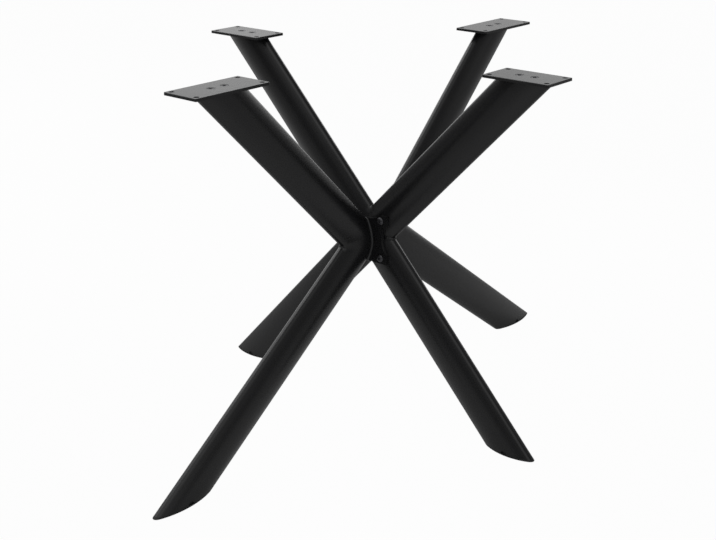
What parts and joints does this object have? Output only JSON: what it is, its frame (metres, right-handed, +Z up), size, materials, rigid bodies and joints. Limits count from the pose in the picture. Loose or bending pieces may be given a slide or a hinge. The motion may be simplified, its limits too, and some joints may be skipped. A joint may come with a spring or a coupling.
{
  "type": "spider table base",
  "caption": "Spider table base of bent oval steel tube legs bolted at a central hub, with a screw plate on each leg.",
  "frame": {"origin": "on the floor under the middle of the hub", "axes": "+Z up; X along the cross frame, Y along the two longer wing legs; the picture looks from -Y and +X"},
  "size_m": [0.799, 1.176, 0.72],
  "materials": {
    "tube": "matt black powder coat, fine texture",
    "plate": "matt black powder coat, fine texture",
    "plug": "matt black powder coat",
    "fastener": "black oxide steel, satin",
    "glide": "black moulded plastic"
  },
  "bodies": {
    "root": {"cross_right_upper_tube": "tube", "cross_right_lower_tube": "tube", "cross_right_top_plate": "plate", "cross_right_tube_plug": "plug", "cross_right_foot_glide": "glide", "wing_back_upper_tube": "tube", "wing_back_lower_tube": "tube", "wing_back_top_plate": "plate", "wing_back_tube_plug": "plug", "wing_back_foot_glide": "glide", "cross_left_upper_tube": "tube", "cross_left_lower_tube": "tube", "cross_left_top_plate": "plate", "cross_left_tube_plug": "plug", "cross_left_foot_glide": "glide", "wing_front_upper_tube": "tube", "wing_front_lower_tube": "tube", "wing_front_top_plate": "plate", "wing_front_tube_plug": "plug", "wing_front_foot_glide": "glide", "wing_front_flange": "plate", "wing_back_flange": "plate", "cross_pad_front": "plate", "cross_pad_back": "plate", "threaded_bushes": "plug", "hub_bolts": "fastener", "plate_screws": "fastener"}
  },
  "joints": []
}
